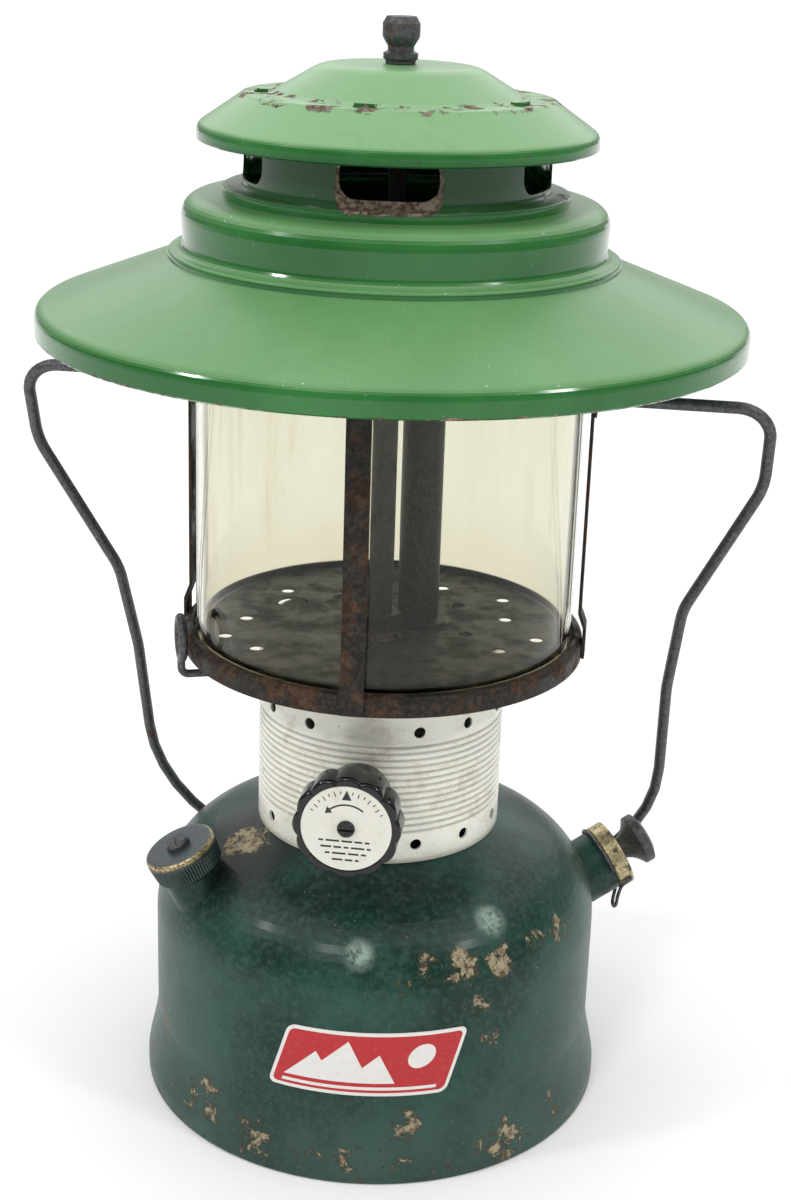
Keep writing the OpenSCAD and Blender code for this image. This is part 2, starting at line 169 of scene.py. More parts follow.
def on_tank(turn, z):
    """A point on the tank's surface, that many degrees round from the front and z mm up."""
    side_r, shoulder_r, side_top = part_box("tank_shell")[1].x / MM, 31, 61.2
    r = side_r if z < side_top else side_r - shoulder_r + math.sqrt(shoulder_r ** 2 - (z - side_top) ** 2)
    a = math.radians(turn)
    return Vector((r * math.sin(a), -r * math.cos(a), z)) * MM


def tank_paint():
    s = Surface("tank_paint", coat_weight=0.14, coat_roughness=0.16, specular_ior_level=0.20)
    cloud = s.ramp(s.noise(38 * MM, 6, 0.65), 0.36, 0.68)
    fine = s.noise(2.2 * MM, 5, 0.7)
    low = s.above("Z", 42 * MM, 4 * MM)
    paint = s.mix(cloud, (0.002, 0.024, 0.015), (0.016, 0.070, 0.052))
    paint = s.mix(s.both(low, s.scaled(cloud, 0.40, 0.95)), paint, (0.046, 0.090, 0.077))
    soot = s.both(s.ramp(s.noise(22 * MM, 7, 0.72), 0.44, 0.62), s.above("Z", 74 * MM, 92 * MM))
    paint = s.mix(s.both(soot, 0.80), paint, (0.006, 0.014, 0.010))
    paint = s.mix(s.both(s.ramp(fine, 0.42, 0.72), 0.75), paint, (0.036, 0.084, 0.066))
    # Where the paint has worn through: degrees round from the front, height and radius in mm, and how far
    worn_spots = ((22, 75, 8, 0.9), (31, 74, 9, 1.0), (41, 73, 9, 1.0), (54, 75, 7, 0.9),
                  (65, 74, 9, 0.9), (35, 61, 7, 0.9), (38, 47, 7, 0.9), (15, 70, 5, 0.7),
                  (17, 21, 8, 0.9), (-37, 15, 15, 0.8), (-22, 9, 13, 0.8), (4, 7, 12, 0.7),
                  (43, 8, 14, 0.8), (60, 12, 12, 0.6), (-60, 30, 14, 0.6), (95, 52, 18, 0.8),
                  (140, 20, 22, 0.8), (185, 66, 22, 0.9), (230, 30, 22, 0.7), (265, 70, 14, 0.7))
    wear = s.both(low, 0.50)
    for turn, z, size, share in worn_spots:
        spot = s.spot(on_tank(turn, z), 0.35 * size * MM, 1.1 * size * MM)
        wear = s.either(wear, s.both(spot, share))
    # Worn paint between the filler cap and the collar, with a painted shadow of the cap darkening it
    by_filler = Vector((-41, -27, 93)) * MM
    filler_cap_shadow = s.spot(by_filler, 14 * MM, 30 * MM)
    wear = s.either(wear, s.spot(by_filler, 5 * MM, 15 * MM))
    wear = s.either(wear, s.both(s.spot(centre("pump_neck"), 12 * MM, 25 * MM), 0.45))
    chip_noise = s.noise(6.5 * MM, 10, 0.76, warp=0.5)
    worn = s.maths("ADD", chip_noise, s.both(wear, 0.25))
    chips = s.ramp(worn, 0.720, 0.745)
    specks = s.ramp(s.noise(1.5 * MM, 3, 0.6), 0.665, 0.700)
    specks = s.both(specks, s.either(s.ramp(s.noise(24 * MM, 4, 0.6), 0.46, 0.58), s.both(low, 0.9)))
    bare = s.mix(s.ramp(s.noise(2.6 * MM, 6, 0.7), 0.36, 0.58), (0.100, 0.066, 0.038), (0.36, 0.31, 0.20))
    # Painted shadow of the filler cap on the tank beside it
    colour = s.mix(s.both(filler_cap_shadow, 0.85), paint, (0.010, 0.012, 0.009))
    colour = s.mix(s.both(s.ramp(worn, 0.64, 0.74), 0.70), colour, (0.040, 0.044, 0.026))
    colour = s.mix(chips, colour, bare)
    colour = s.mix(s.both(specks, 0.85), colour, (0.17, 0.155, 0.10))
    dots = s.ramp(s.noise(2.1 * MM, 4, 0.65), 0.64, 0.68)
    black = s.both(dots, s.ramp(s.noise(20 * MM, 5, 0.7), 0.47, 0.60))
    colour = s.mix(s.both(black, 0.85), colour, (0.006, 0.007, 0.005))
    # Two shallow dents on the shoulder, where the paint has rubbed; their pale colour is also a painted highlight
    front_dent = s.spot(on_tank(4, 79), 1.0 * MM, 6.5 * MM)
    dents_and_highlight = s.either(front_dent, s.spot(on_tank(42, 84), 1.5 * MM, 7.0 * MM))
    colour = s.mix(s.both(dents_and_highlight, s.ramp(s.noise(3 * MM, 6, 0.7), 0.30, 0.62)), colour, (0.30, 0.40, 0.34))
    s.colour(colour)
    gone = s.either(chips, specks)
    s.rough(s.scaled(s.either(s.both(gone, 0.9), s.both(fine, 0.55)), 0.24, 0.80))
    relief = s.maths("SUBTRACT", s.both(fine, 0.25), s.both(gone, 0.8))
    s.bump(s.maths("SUBTRACT", relief, s.both(dents_and_highlight, 0.9)), 0.28 * MM)
    return s.material


def hat_enamel():
    s = Surface("hat_enamel", coat_weight=0.75, specular_ior_level=0.10)
    cloud = s.ramp(s.noise(60 * MM, 4, 0.6), 0.35, 0.7)
    # Up-facing surfaces get a paler green, partly a dust film and partly a painted sheen of the light from above;
    # the cap's slope above 322 mm is paler still
    up = s.ramp(s.add("SeparateXYZ", vector=s.add("TexCoord").outputs["Normal"]).outputs["Z"], 0.30, 0.78)
    deep = s.mix(cloud, (0.010, 0.112, 0.018), (0.026, 0.165, 0.034))
    dust_and_sheen = s.mix(cloud, (0.092, 0.245, 0.080), (0.118, 0.285, 0.104))
    dust_and_sheen = s.mix(s.above("Z", 322 * MM, 326 * MM), dust_and_sheen, (0.170, 0.345, 0.150))
    paint = s.mix(up, deep, dust_and_sheen)
    # Painted shade: the vent collar's band, which lies in shadow, is painted darker
    vent_painted_shade = s.band(306.0, 308.5, 320, 324)
    paint = s.mix(s.both(vent_painted_shade, 0.80), paint, (0.008, 0.058, 0.018))
    grime = s.ramp(s.noise(9 * MM, 8, 0.75), 0.52, 0.72)
    ledge = s.band(333.2, 334.4, 335.8, 337.2)
    cap_edge = s.band(320, 321, 323, 327)
    rim = s.above("Z", 264.6 * MM, 262.6 * MM)
    # The rusty border of the front window and, fainter, of the others
    windows, first_turn, window_z = 5, 5, 314.5 * MM
    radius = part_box("vent_collar")[1].x - 6.3 * MM
    border = None
    for k in range(windows):
        a = math.radians(first_turn + 360 / windows * k)
        at_window = Vector((radius * math.sin(a), -radius * math.cos(a), window_z))
        ring = s.both(s.spot(at_window, 15.0 * MM, 17.4 * MM), 1.5 if k == 0 else 0.6)
        border = ring if border is None else s.either(border, ring)
    border = s.both(border, s.band(305.8, 307.6, 320, 322))
    wear = s.either(s.both(ledge, 0.80), s.either(s.both(cap_edge, 0.45), s.both(rim, 0.85)))
    wear = s.either(wear, s.both(border, 1.0))
    chip_noise = s.noise(7 * MM, 9, 0.72, warp=0.3)
    worn = s.maths("ADD", chip_noise, s.both(wear, 0.24))
    chips = s.ramp(worn, 0.728, 0.752)
    white = s.ramp(s.noise(1.0 * MM, 2, 0.5), 0.735, 0.755)
    white = s.both(white, s.ramp(s.noise(30 * MM, 3, 0.6), 0.47, 0.58))
    rust = s.mix(s.ramp(s.noise(2.0 * MM, 6, 0.7), 0.40, 0.60), (0.075, 0.048, 0.034), (0.27, 0.215, 0.165))
    colour = s.mix(s.both(grime, 0.16), paint, (0.075, 0.10, 0.045))
    colour = s.mix(chips, colour, rust)
    colour = s.mix(s.both(white, 0.85), colour, (0.62, 0.66, 0.58))
    s.colour(colour)
    s.rough(s.scaled(s.either(chips, s.both(up, 0.35)), 0.20, 0.85))
    s.join(s.shader.inputs["Coat Weight"], s.scaled(chips, 0.75, 0.0))
    s.join(s.shader.inputs["Coat Roughness"], s.scaled(up, 0.04, 0.34))
    s.bump(s.maths("SUBTRACT", s.both(s.noise(16 * MM, 2, 0.5), 0.22), s.both(chips, 0.7)), 0.25 * MM)
    return s.material


def iron(name, base, worn, rust_share, metallic=0.55, roughness=(0.32, 0.72)):
    """Dark steel with duller and rusty patches; rust_share is how much of it has rusted."""
    s = Surface(name, specular_ior_level=0.30)
    patch = s.ramp(s.noise(9 * MM, 7, 0.7), 0.62 - rust_share * 0.45, 0.74 - rust_share * 0.35)
    fine = s.noise(1.2 * MM, 5, 0.7)
    steel = s.mix(s.ramp(fine, 0.35, 0.7), base, worn)
    rust = s.mix(s.ramp(s.noise(2.2 * MM, 6, 0.75), 0.35, 0.65), DARK_RUST, (0.115, 0.058, 0.030))
    s.colour(s.mix(patch, steel, rust))
    s.metal(s.scaled(patch, metallic, 0.0))
    s.rough(s.scaled(s.either(patch, s.both(fine, 0.6)), *roughness))
    s.bump(s.either(s.both(fine, 0.5), patch), 0.12 * MM)
    return s.material


def brass():
    s = Surface("brass")
    dirt = s.ramp(s.noise(4.5 * MM, 7, 0.72), 0.50, 0.64)
    fine = s.noise(0.9 * MM, 4, 0.6)
    metal = s.mix(s.ramp(fine, 0.35, 0.7), (0.34, 0.28, 0.15), (0.62, 0.54, 0.33))
    metal = s.mix(dirt, metal, (0.075, 0.064, 0.042))
    soot = s.above("Z", 160 * MM, 168 * MM)
    s.colour(s.mix(s.both(soot, 0.96), metal, (0.012, 0.011, 0.009)))
    s.metal(s.scaled(s.either(dirt, soot), 0.95, 0.15))
    s.rough(s.scaled(s.either(dirt, s.both(fine, 0.6)), 0.26, 0.70))
    s.bump(s.either(s.both(fine, 0.5), dirt), 0.10 * MM)
    return s.material


def collar_alloy():
    s = Surface("collar_alloy")
    streaks = s.ramp(s.noise(6 * MM, 6, 0.7, stretch=(1, 1, 3.5)), 0.50, 0.72)
    stain = s.ramp(s.noise(14 * MM, 7, 0.72), 0.50, 0.66)
    pits = s.ramp(s.noise(1.0 * MM, 3, 0.6), 0.68, 0.74)
    metal = s.mix(streaks, (0.93, 0.92, 0.82), (0.74, 0.72, 0.60))
    metal = s.mix(s.both(stain, 0.50), metal, (0.52, 0.47, 0.34))
    # Darker in the grooves between the ribs and along the foot
    rib_pitch, first_rib, last_rib = 2.3, 106, 138.2
    height = s.maths("SUBTRACT", s.axis("Z"), first_rib * MM)
    phase = s.maths("FRACT", s.maths("DIVIDE", height, rib_pitch * MM))
    groove = s.ramp(s.maths("ABSOLUTE", s.maths("SUBTRACT", phase, 0.5)), 0.26, 0.08)
    groove = s.both(groove, s.band(first_rib - rib_pitch / 4, first_rib, last_rib, last_rib + 1))
    foot = s.above("Z", bottom("collar") + 2.5 * MM, bottom("collar"))
    dirt = s.either(s.both(groove, s.scaled(s.noise(5 * MM, 5, 0.7), 0.25, 1.0)), s.both(foot, 0.7))
    metal = s.mix(s.both(dirt, 0.72), metal, (0.13, 0.115, 0.085))
    s.colour(s.mix(s.both(pits, 0.8), metal, (0.12, 0.09, 0.06)))
    s.metal(s.scaled(s.either(stain, s.either(pits, dirt)), 0.08, 0.02))
    s.rough(s.scaled(s.either(streaks, stain), 0.26, 0.50))
    s.bump(s.either(pits, s.both(s.noise(8 * MM, 3, 0.5), 0.6)), 0.08 * MM)
    return s.material


def label_enamel(name="label_enamel", base=(0.47, 0.012, 0.018), worn=(0.52, 0.10, 0.10)):
    s = Surface(name, coat_weight=0.3, coat_roughness=0.12, specular_ior_level=0.3)
    wear = s.ramp(s.noise(1.6 * MM, 6, 0.7), 0.52, 0.75)
    s.colour(s.mix(s.both(wear, 0.55), base, worn))
    s.rough(s.scaled(wear, 0.28, 0.50))
    s.bump(wear, 0.03 * MM)
    return s.material


def disc_enamel():
    s = Surface("disc_enamel", coat_weight=0.2, coat_roughness=0.3)
    stain = s.ramp(s.noise(6 * MM, 6, 0.7), 0.50, 0.72)
    specks = s.ramp(s.noise(0.8 * MM, 3, 0.6), 0.70, 0.74)
    base = s.mix(s.both(stain, 0.5), (0.72, 0.71, 0.63), (0.55, 0.51, 0.40))
    s.colour(s.mix(s.both(specks, 0.7), base, (0.20, 0.15, 0.10)))
    s.rough(s.scaled(stain, 0.34, 0.55))
    s.bump(stain, 0.03 * MM)
    return s.material


def bakelite():
    s = Surface("bakelite", coat_weight=0.35, coat_roughness=0.06, specular_ior_level=0.25)
    dust = s.ramp(s.noise(5 * MM, 6, 0.7), 0.52, 0.75)
    s.colour(s.mix(s.both(dust, 0.4), (0.006, 0.006, 0.007), (0.035, 0.034, 0.032)))
    s.rough(s.scaled(dust, 0.16, 0.42))
    s.bump(dust, 0.04 * MM)
    return s.material


def plain(name, dark, light, size, roughness, metallic=0.0, depth=0.06):
    """A dull material with two tones in a cloudy grain of that size; depth is its relief in mm."""
    s = Surface(name, metallic=metallic)
    grain = s.ramp(s.noise(size, 6, 0.65), 0.35, 0.70)
    s.colour(s.mix(grain, dark, light))
    s.rough(s.scaled(grain, *roughness))
    s.bump(grain, depth * MM)
    return s.material


def globe_glass():
    s = Surface("globe_glass", transmission_weight=1.0, ior=1.27)
    streaks = s.ramp(s.noise(11 * MM, 5, 0.65, stretch=(1, 1, 0.10)), 0.52, 0.72)
    haze = s.ramp(s.noise(30 * MM, 6, 0.7, stretch=(1, 1, 0.45)), 0.48, 0.75)
    low = s.above("Z", bottom("globe") + 34 * MM, bottom("globe"))
    left = s.above("X", -22 * MM, -52 * MM)
    runs = s.both(streaks, s.scaled(left, 0.25, 0.95))
    stain = s.either(s.both(haze, 0.35), s.either(s.both(low, 0.40), runs))
    tint = s.mix(stain, (0.835, 0.833, 0.735), (0.70, 0.62, 0.47))
    foot = s.above("Z", bottom("globe") + 2.6 * MM, bottom("globe") + 1.6 * MM)
    s.colour(s.mix(foot, tint, (0.16, 0.14, 0.10)))
    s.rough(s.scaled(stain, 0.0, 0.10))
    return s.material


def plate_steel():
    """The sooty burner plate, with a rusty rolled rim."""
    s = Surface("rusty_steel", specular_ior_level=0.22)
    rust = s.mix(s.ramp(s.noise(3 * MM, 7, 0.75), 0.38, 0.64), DARK_RUST, (0.088, 0.050, 0.030))
    soot = s.mix(s.ramp(s.noise(7 * MM, 7, 0.72), 0.36, 0.66), (0.030, 0.030, 0.024), (0.085, 0.083, 0.065))
    patch = s.ramp(s.noise(11 * MM, 7, 0.7), 0.46, 0.60)
    steel = s.mix(s.ramp(s.noise(1.5 * MM, 5, 0.7), 0.4, 0.7), (0.016, 0.014, 0.012), (0.045, 0.040, 0.034))
    rim = s.mix(patch, steel, rust)
    plate_middle = (0, 0, 164 * MM)
    s.colour(s.mix(s.spot(plate_middle, 61.5 * MM, 64.5 * MM), rim, soot))
    s.metal(s.scaled(patch, 0.35, 0.0))
    s.rough(s.scaled(patch, 0.42, 0.85))
    s.bump(s.noise(2 * MM, 6, 0.7), 0.18 * MM)
    return s.material


finishes = {
    "tank_paint": tank_paint(),
    "hat_enamel": hat_enamel(),
    "dark_steel": iron("dark_steel", (0.055, 0.057, 0.062), (0.13, 0.135, 0.14), 0.12),
    "rusty_steel": plate_steel(),
    "plain_steel": iron("plain_steel", (0.016, 0.016, 0.015), (0.045, 0.045, 0.042), 0.06, metallic=0.35),
    "brass": brass(),
    "collar_alloy": collar_alloy(),
    "label_enamel": label_enamel(),
    "disc_enamel": disc_enamel(),
    "bakelite": bakelite(),
    "rubber_seal": plain("rubber_seal", (0.012, 0.012, 0.012), (0.035, 0.034, 0.032), 2 * MM, (0.6, 0.85)),
    "leather_cup": plain("leather_cup", (0.11, 0.055, 0.028), (0.24, 0.14, 0.075), 1.5 * MM, (0.5, 0.8),
                         depth=0.15),
    "burner_ceramic": plain("burner_ceramic", (0.42, 0.39, 0.33), (0.72, 0.69, 0.62), 3 * MM, (0.6, 0.9)),
    "globe_glass": globe_glass(),
}
for name, node in nodes.items():
    node.data.materials.clear()
    node.data.materials.append(finishes[slots[name]])


# ---------- mesh helpers ----------
def add_piece(name, points, faces, slot, body, where=None, material=None, crease=35):
    """A mesh piece that rides on a body; edges sharper than crease degrees stay sharp."""
    mesh = bpy.data.meshes.new(name)
    mesh.from_pydata(points, [], faces)
    shape = bmesh.new()
    shape.from_mesh(mesh)
    bmesh.ops.recalc_face_normals(shape, faces=shape.faces)
    shape.to_mesh(mesh)
    shape.free()
    mesh.shade_smooth()
    mesh.set_sharp_from_angle(angle=math.radians(crease))
    mesh.materials.append(material or finishes[slot])
    piece = bpy.data.objects.new(name, mesh)
    bpy.context.scene.collection.objects.link(piece)
    piece.matrix_world = where or Matrix.Identity(4)
    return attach(piece, body)


def circle(cx, cy, r, start, end, steps):
    """Points of an arc, from one angle in degrees to another."""
    turns = [math.radians(start + (end - start) * i / steps) for i in range(steps + 1)]
    return [(cx + r * math.cos(t), cy + r * math.sin(t)) for t in turns]


def turned(outline, steps, shape=lambda angle, r, z: r, ring=False):
    """An outline of (radius, height) in mm turned about Z; shape may change the radius with the angle.

    The two ends are closed with discs, or joined to each other if ring is set.
    """
    points, faces = [], []
    for r, z in outline:
        for k in range(steps):
            a = 2 * math.pi * k / steps
            wide = shape(a, r, z) * MM
            points.append((wide * math.cos(a), wide * math.sin(a), z * MM))
    rows = len(outline)
    for i in range(rows if ring else rows - 1):
        here, there = i * steps, (i + 1) % rows * steps
        for k in range(steps):
            j = (k + 1) % steps
            faces.append((here + k, here + j, there + j, there + k))
    if not ring:
        faces.append(tuple(range(steps)))
        faces.append(tuple((rows - 1) * steps + k for k in range(steps)))
    return points, faces


def axis_frame(joint):
    """The frame at a joint whose Z is the joint's axis and whose X lies level."""
    z = Vector(joints[joint]["axis"]).normalized()
    x = Vector((0, 0, 1)).cross(z).normalized()
    turn = Matrix((x, z.cross(x), z)).transposed().to_4x4()
    return Matrix.Translation(Vector(joints[joint]["pos_m"])) @ turn


def smooth_line(points, steps):
    """A smooth curve through the points, with that many steps between two of them."""
    ends = [points[0] * 2 - points[1], *points, points[-1] * 2 - points[-2]]
    line = []
    for i in range(1, len(ends) - 2):
        p0, p1, p2, p3 = ends[i - 1:i + 3]
        for k in range(steps):
            t = k / steps
            line.append(0.5 * (2 * p1 + (p2 - p0) * t + (2 * p0 - 5 * p1 + 4 * p2 - p3) * t * t
                               + (3 * p1 - p0 - 3 * p2 + p3) * t ** 3))
    return line + [points[-1]]


def wire(line, r, sides=20):
    """Points and faces of a round wire along a line of points, with narrowed ends."""
    end_step, end_r = 0.3 * r, 0.7 * r
    points, faces = [], []
    side = None
    rows = []
    for i, p in enumerate(line):
        d = (line[min(i + 1, len(line) - 1)] - line[max(i - 1, 0)]).normalized()
        side = d.orthogonal().normalized() if side is None else (side - d * side.dot(d)).normalized()
        rows.append((p, d, side, r))
    for at_end, (p, d, side, wide), sign in ((0, rows[0], -1), (len(rows) + 1, rows[-1], 1)):
        rows.insert(at_end, (p + d * sign * end_step, d, side, end_r))
    for p, d, side, wide in rows:
        other = d.cross(side)
        for k in range(sides):
            a = 2 * math.pi * k / sides
            points.append(tuple(p + (side * math.cos(a) + other * math.sin(a)) * wide))
    for i in range(len(rows) - 1):
        for k in range(sides):
            j = (k + 1) % sides
            faces.append((i * sides + k, i * sides + j, (i + 1) * sides + j, (i + 1) * sides + k))
    faces.append(tuple(range(sides)))
    faces.append(tuple((len(rows) - 1) * sides + k for k in range(sides)))
    return points, faces


# ---------- bail ----------
def rounded(points, radii):
    """The flat points with each inner corner rounded by its radius."""
    steps = 10
    line = [points[0]]
    for before, p, after, r in zip(points, points[1:-1], points[2:], radii):
        a, b = (before - p).normalized(), (after - p).normalized()
        half = a.angle(b) / 2
        middle = p + (a + b).normalized() * (r / math.sin(half))
        start = p + a * (r / math.tan(half)) - middle
        turn = math.pi - 2 * half
        sign = 1 if start.x * b.y - start.y * b.x > 0 else -1
        for k in range(steps + 1):
            line.append(middle + Matrix.Rotation(sign * turn * k / steps, 2) @ start)
    return line + [points[-1]]


def bail():
    """The hanging bail: half its outline is (distance from the middle, distance from the pivot) in mm."""
    pivot = Vector((0, 0, joints["bail_swing"]["pos_m"][2]))
    wire_r, lean = 2, math.radians(20.6)
    length, grip_r, leg_x, shoulder_x, pin_end = 228, 68, 95.5, 120.5, 63.5
    half = [(-pin_end, 0), (-shoulder_x, 0), (-shoulder_x, 30), (-98.5, 84), (-leg_x, 120),
            (-leg_x, length)]
    half_radii = [11, 30, 30, 60, grip_r]
    outline = [Vector(p) for p in half + [(-x, s) for x, s in reversed(half)]]
    flat = rounded(outline, half_radii + half_radii[::-1])
    line = [Vector((p.x, p.y * math.sin(lean), -p.y * math.cos(lean))) * MM + pivot for p in flat]
    piece = add_piece("bail_wire", *wire(line, (wire_r - 0.03) * MM), "dark_steel", "bail")
    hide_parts("bail")


# ---------- base skirt ----------
def base_skirt():
    """The flared skirt, its upper edge faired into the tank."""
    tank_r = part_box("tank_shell")[1].x / MM
    foot_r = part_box("base_skirt")[1].x / MM
    flare = ((tank_r - 0.12, 26.0), (tank_r + 0.16, 23.0), (tank_r + 1.0, 17.5), (foot_r - 1.3, 12.0),
             (foot_r - 0.1, 6.2), (foot_r, 3.0))
    line = smooth_line([Vector((r, 0, z)) for r, z in flare], 4)
    outline = [(p.x, p.z) for p in line] + circle(foot_r - 1, 1, 1, 0, -90, 5)
    inside = [(74, 0.05), (74, 0.9), (foot_r - 1.1, 1.4), (foot_r - 1.1, 5.8), (tank_r + 0.5, 15)]
    outline += inside + [(tank_r - 0.12, 22)]
    skirt = add_piece("base_skirt_flared", *turned(outline, 180, ring=True), "tank_paint", "lantern")
    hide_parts("base_skirt")


# ---------- filler cap ----------
def filler_cap():
    """The filler cap, its top at height 0: a rounded edge, then a knurled side that narrows downwards."""
    steps, narrowing, side_height = 12, 0.7, 6.8
    outline = [(2.1, -1.5), (2.1, 0), (9.6, 0.02)] + circle(11.0, -1.0, 1.0, 90, 10, 6)
    outline += [(11.6, -1.25), (11.65, -1.5), (11.95, -1.65)]
    outline += [(11.98 - narrowing * i / steps, -2.0 - side_height * i / steps) for i in range(steps + 1)]
    outline += [(10.9, -9.3), (10.2, -9.4), (10.16, -1.5)]

    def knurl(a, r, z):
        ridges, relief = 72, 0.17
        full = max(0, min(1, (-z - 2.1) / 0.5)) * max(0, min(1, (z + 9.0) / 0.5)) * (r > 10.7)
        return r + relief * full * math.cos(ridges * a)

    s = Surface("filler_cap_paint", coat_weight=0.3, coat_roughness=0.2)
    dirt = s.noise(1.6 * MM, 6, 0.7)
    outer = s.ramp(s.vector("DISTANCE", s.place, (0, 0, 0)), 11.0 * MM, 11.6 * MM)
    edge = s.both(outer, s.above("Z", -1.9 * MM, -1.5 * MM))
    edge = s.both(edge, s.ramp(s.maths("ADD", dirt, s.both(s.axis("X"), 6.0)), 0.40, 0.52))
    # Painted light: the top is painted lighter and the knurled side darker, as the light falls from above
    paint = s.mix(s.above("Z", -1.5 * MM, -0.3 * MM), (0.010, 0.030, 0.027), (0.036, 0.055, 0.062))
    paint = s.mix(s.both(s.ramp(dirt, 0.5, 0.7), 0.5), paint, (0.050, 0.066, 0.060))
    worn = s.mix(s.ramp(s.noise(0.8 * MM, 4), 0.4, 0.6), (0.20, 0.15, 0.07), (0.62, 0.52, 0.30))
    s.colour(s.mix(edge, paint, worn))
    s.metal(s.scaled(edge, 0.1, 0.9))
    s.rough(s.scaled(dirt, 0.22, 0.62))
    s.bump(dirt, 0.08 * MM)
    points, faces = turned(outline, 288, knurl, ring=True)
    piece = add_piece("filler_cap_knurled", points, faces, "tank_paint", "filler_top",
                      axis_frame("filler_cap_turn"), s.material, crease=50)
    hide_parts("filler_cap")


# ---------- pump ----------
def pump_parts():
    """The pump's cap, knob and wire clip, at distances in mm along the pump's axis."""
    where = axis_frame("pump_knob_turn")
    joint_place = 95.3

    def at(z):
        return z - joint_place

    cap = [(10.06, at(96.3)), (10.06, at(92.1)), (11.8, at(92.1))]
    cap += circle(11.7, at(92.7), 0.5, -80, 0, 4) + circle(11.6, at(97.3), 0.6, 0, 80, 5)
    cap += [(9.5, at(97.95)), (3.4, at(98)), (3.1, at(97.8)), (3.1, at(96.3))]
    ring = add_piece("pump_cap_ring", *turned(cap, 96, ring=True), "brass", "lantern", where)
    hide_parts("pump_cap")
    flare = [(3.6, 98.4), (3.75, 99.2), (4.2, 100.4), (4.9, 101.7), (5.8, 102.8), (6.9, 103.8),
             (8.0, 104.6)]
    knob = [(3.02, at(104)), (3.02, at(98.4))] + [(r, at(z)) for r, z in flare]
    knob += circle(8.6, at(105.8), 0.7, -60, 0, 4) + circle(8.5, at(108.1), 0.8, 0, 70, 5)
    knob += [(6.4, at(109.8)), (3.2, at(110.35)), (0.4, at(110.45))]
    grip = add_piece("pump_grip", *turned(knob, 72), "dark_steel", "pump_handle", where)
    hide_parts("pump_knob")

    def polar(a, r, z):
        return Vector((r * math.cos(math.radians(a)), r * math.sin(math.radians(a)), at(z))) * MM

    # The clip: a hairpin that hangs down the cap's side, then most of a turn round the neck
    ring_r, ring_z, near = 12.1, 91.3, 203
    hairpin = ((0, 12.3, 96.4), (0, 12.9, 95.8), (1, 13.0, 94.0), (4, 13.2, 91.8), (14, 14.6, 89.2),
               (26, 16.2, 87.6), (38, 16.6, 87.0), (46, 15.6, 87.6), (48, 13.8, 89.2))
    route = [polar(near + a, r, z) for a, r, z in hairpin]
    route += [polar(near + 54 + 12 * i, ring_r, ring_z) for i in range(24)]
    clip = add_piece("pump_clip_wire", *wire(smooth_line(route, 5), 0.65 * MM, 14), "dark_steel", "lantern",
                     where)
    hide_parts("pump_clip")


# ---------- control knob ----------
KNOB_FACE = 71.0  # mm along the valve's axis, from the lantern's middle


def control_knob():
    """The moulded knob: a hub, and a scalloped head with a seat for its printed disc."""
    where = axis_frame("control_knob_turn")
    face, rim, seat = KNOB_FACE, 17.0, 14.2
    outline = [(2.6, 45.2), (9.6, 44.5), (10.4, 44.8), (10.6, 45.5), (10.6, 60.2), (11.6, 61.0)]
    outline += circle(rim - 1.0, 62.1, 1.0, -90, 0, 5) + circle(rim - 1.1, face - 1.2, 1.1, 0, 90, 6)
    outline += [(seat + 0.5, face), (seat, face - 0.25), (seat, face - 0.5), (2.7, face - 0.5)]

    def scallop(a, r, z):
        hollows, relief = 12, 1.15
        full = max(0, min(1, (r - 14.6) / 1.4)) * (z > 60.9)
        return r - relief * full * (1 - abs(math.cos(hollows / 2 * a)) ** 0.75)

    grip = add_piece("control_knob_scalloped", *turned(outline, 288, scallop, ring=True), "bakelite",
                     "knob_spindle", where)
    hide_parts("control_knob")


def flat_shapes(outlines, z, thick):
    """Points and faces of thin shapes standing on a face; outlines are closed lists of (x, y) in mm."""
    points, faces = [], []
    for outline in outlines:
        n, base = len(outline), len(points)
        points += [(x * MM, y * MM, z * MM) for x, y in outline]
        points += [(x * MM, y * MM, (z + thick) * MM) for x, y in outline]
        faces += [(base + i, base + (i + 1) % n, base + n + (i + 1) % n, base + n + i) for i in range(n)]
        faces += [tuple(base + i for i in range(n)), tuple(base + n + i for i in range(n))]
    return points, faces


def bar(x, y, w, h, turn=0.0):
    """A rectangle's corners, round its middle."""
    c, s = math.cos(math.radians(turn)), math.sin(math.radians(turn))
    corners = [(-w / 2, -h / 2), (w / 2, -h / 2), (w / 2, h / 2), (-w / 2, h / 2)]
    return [(x + c * a - s * b, y + s * a + c * b) for a, b in corners]


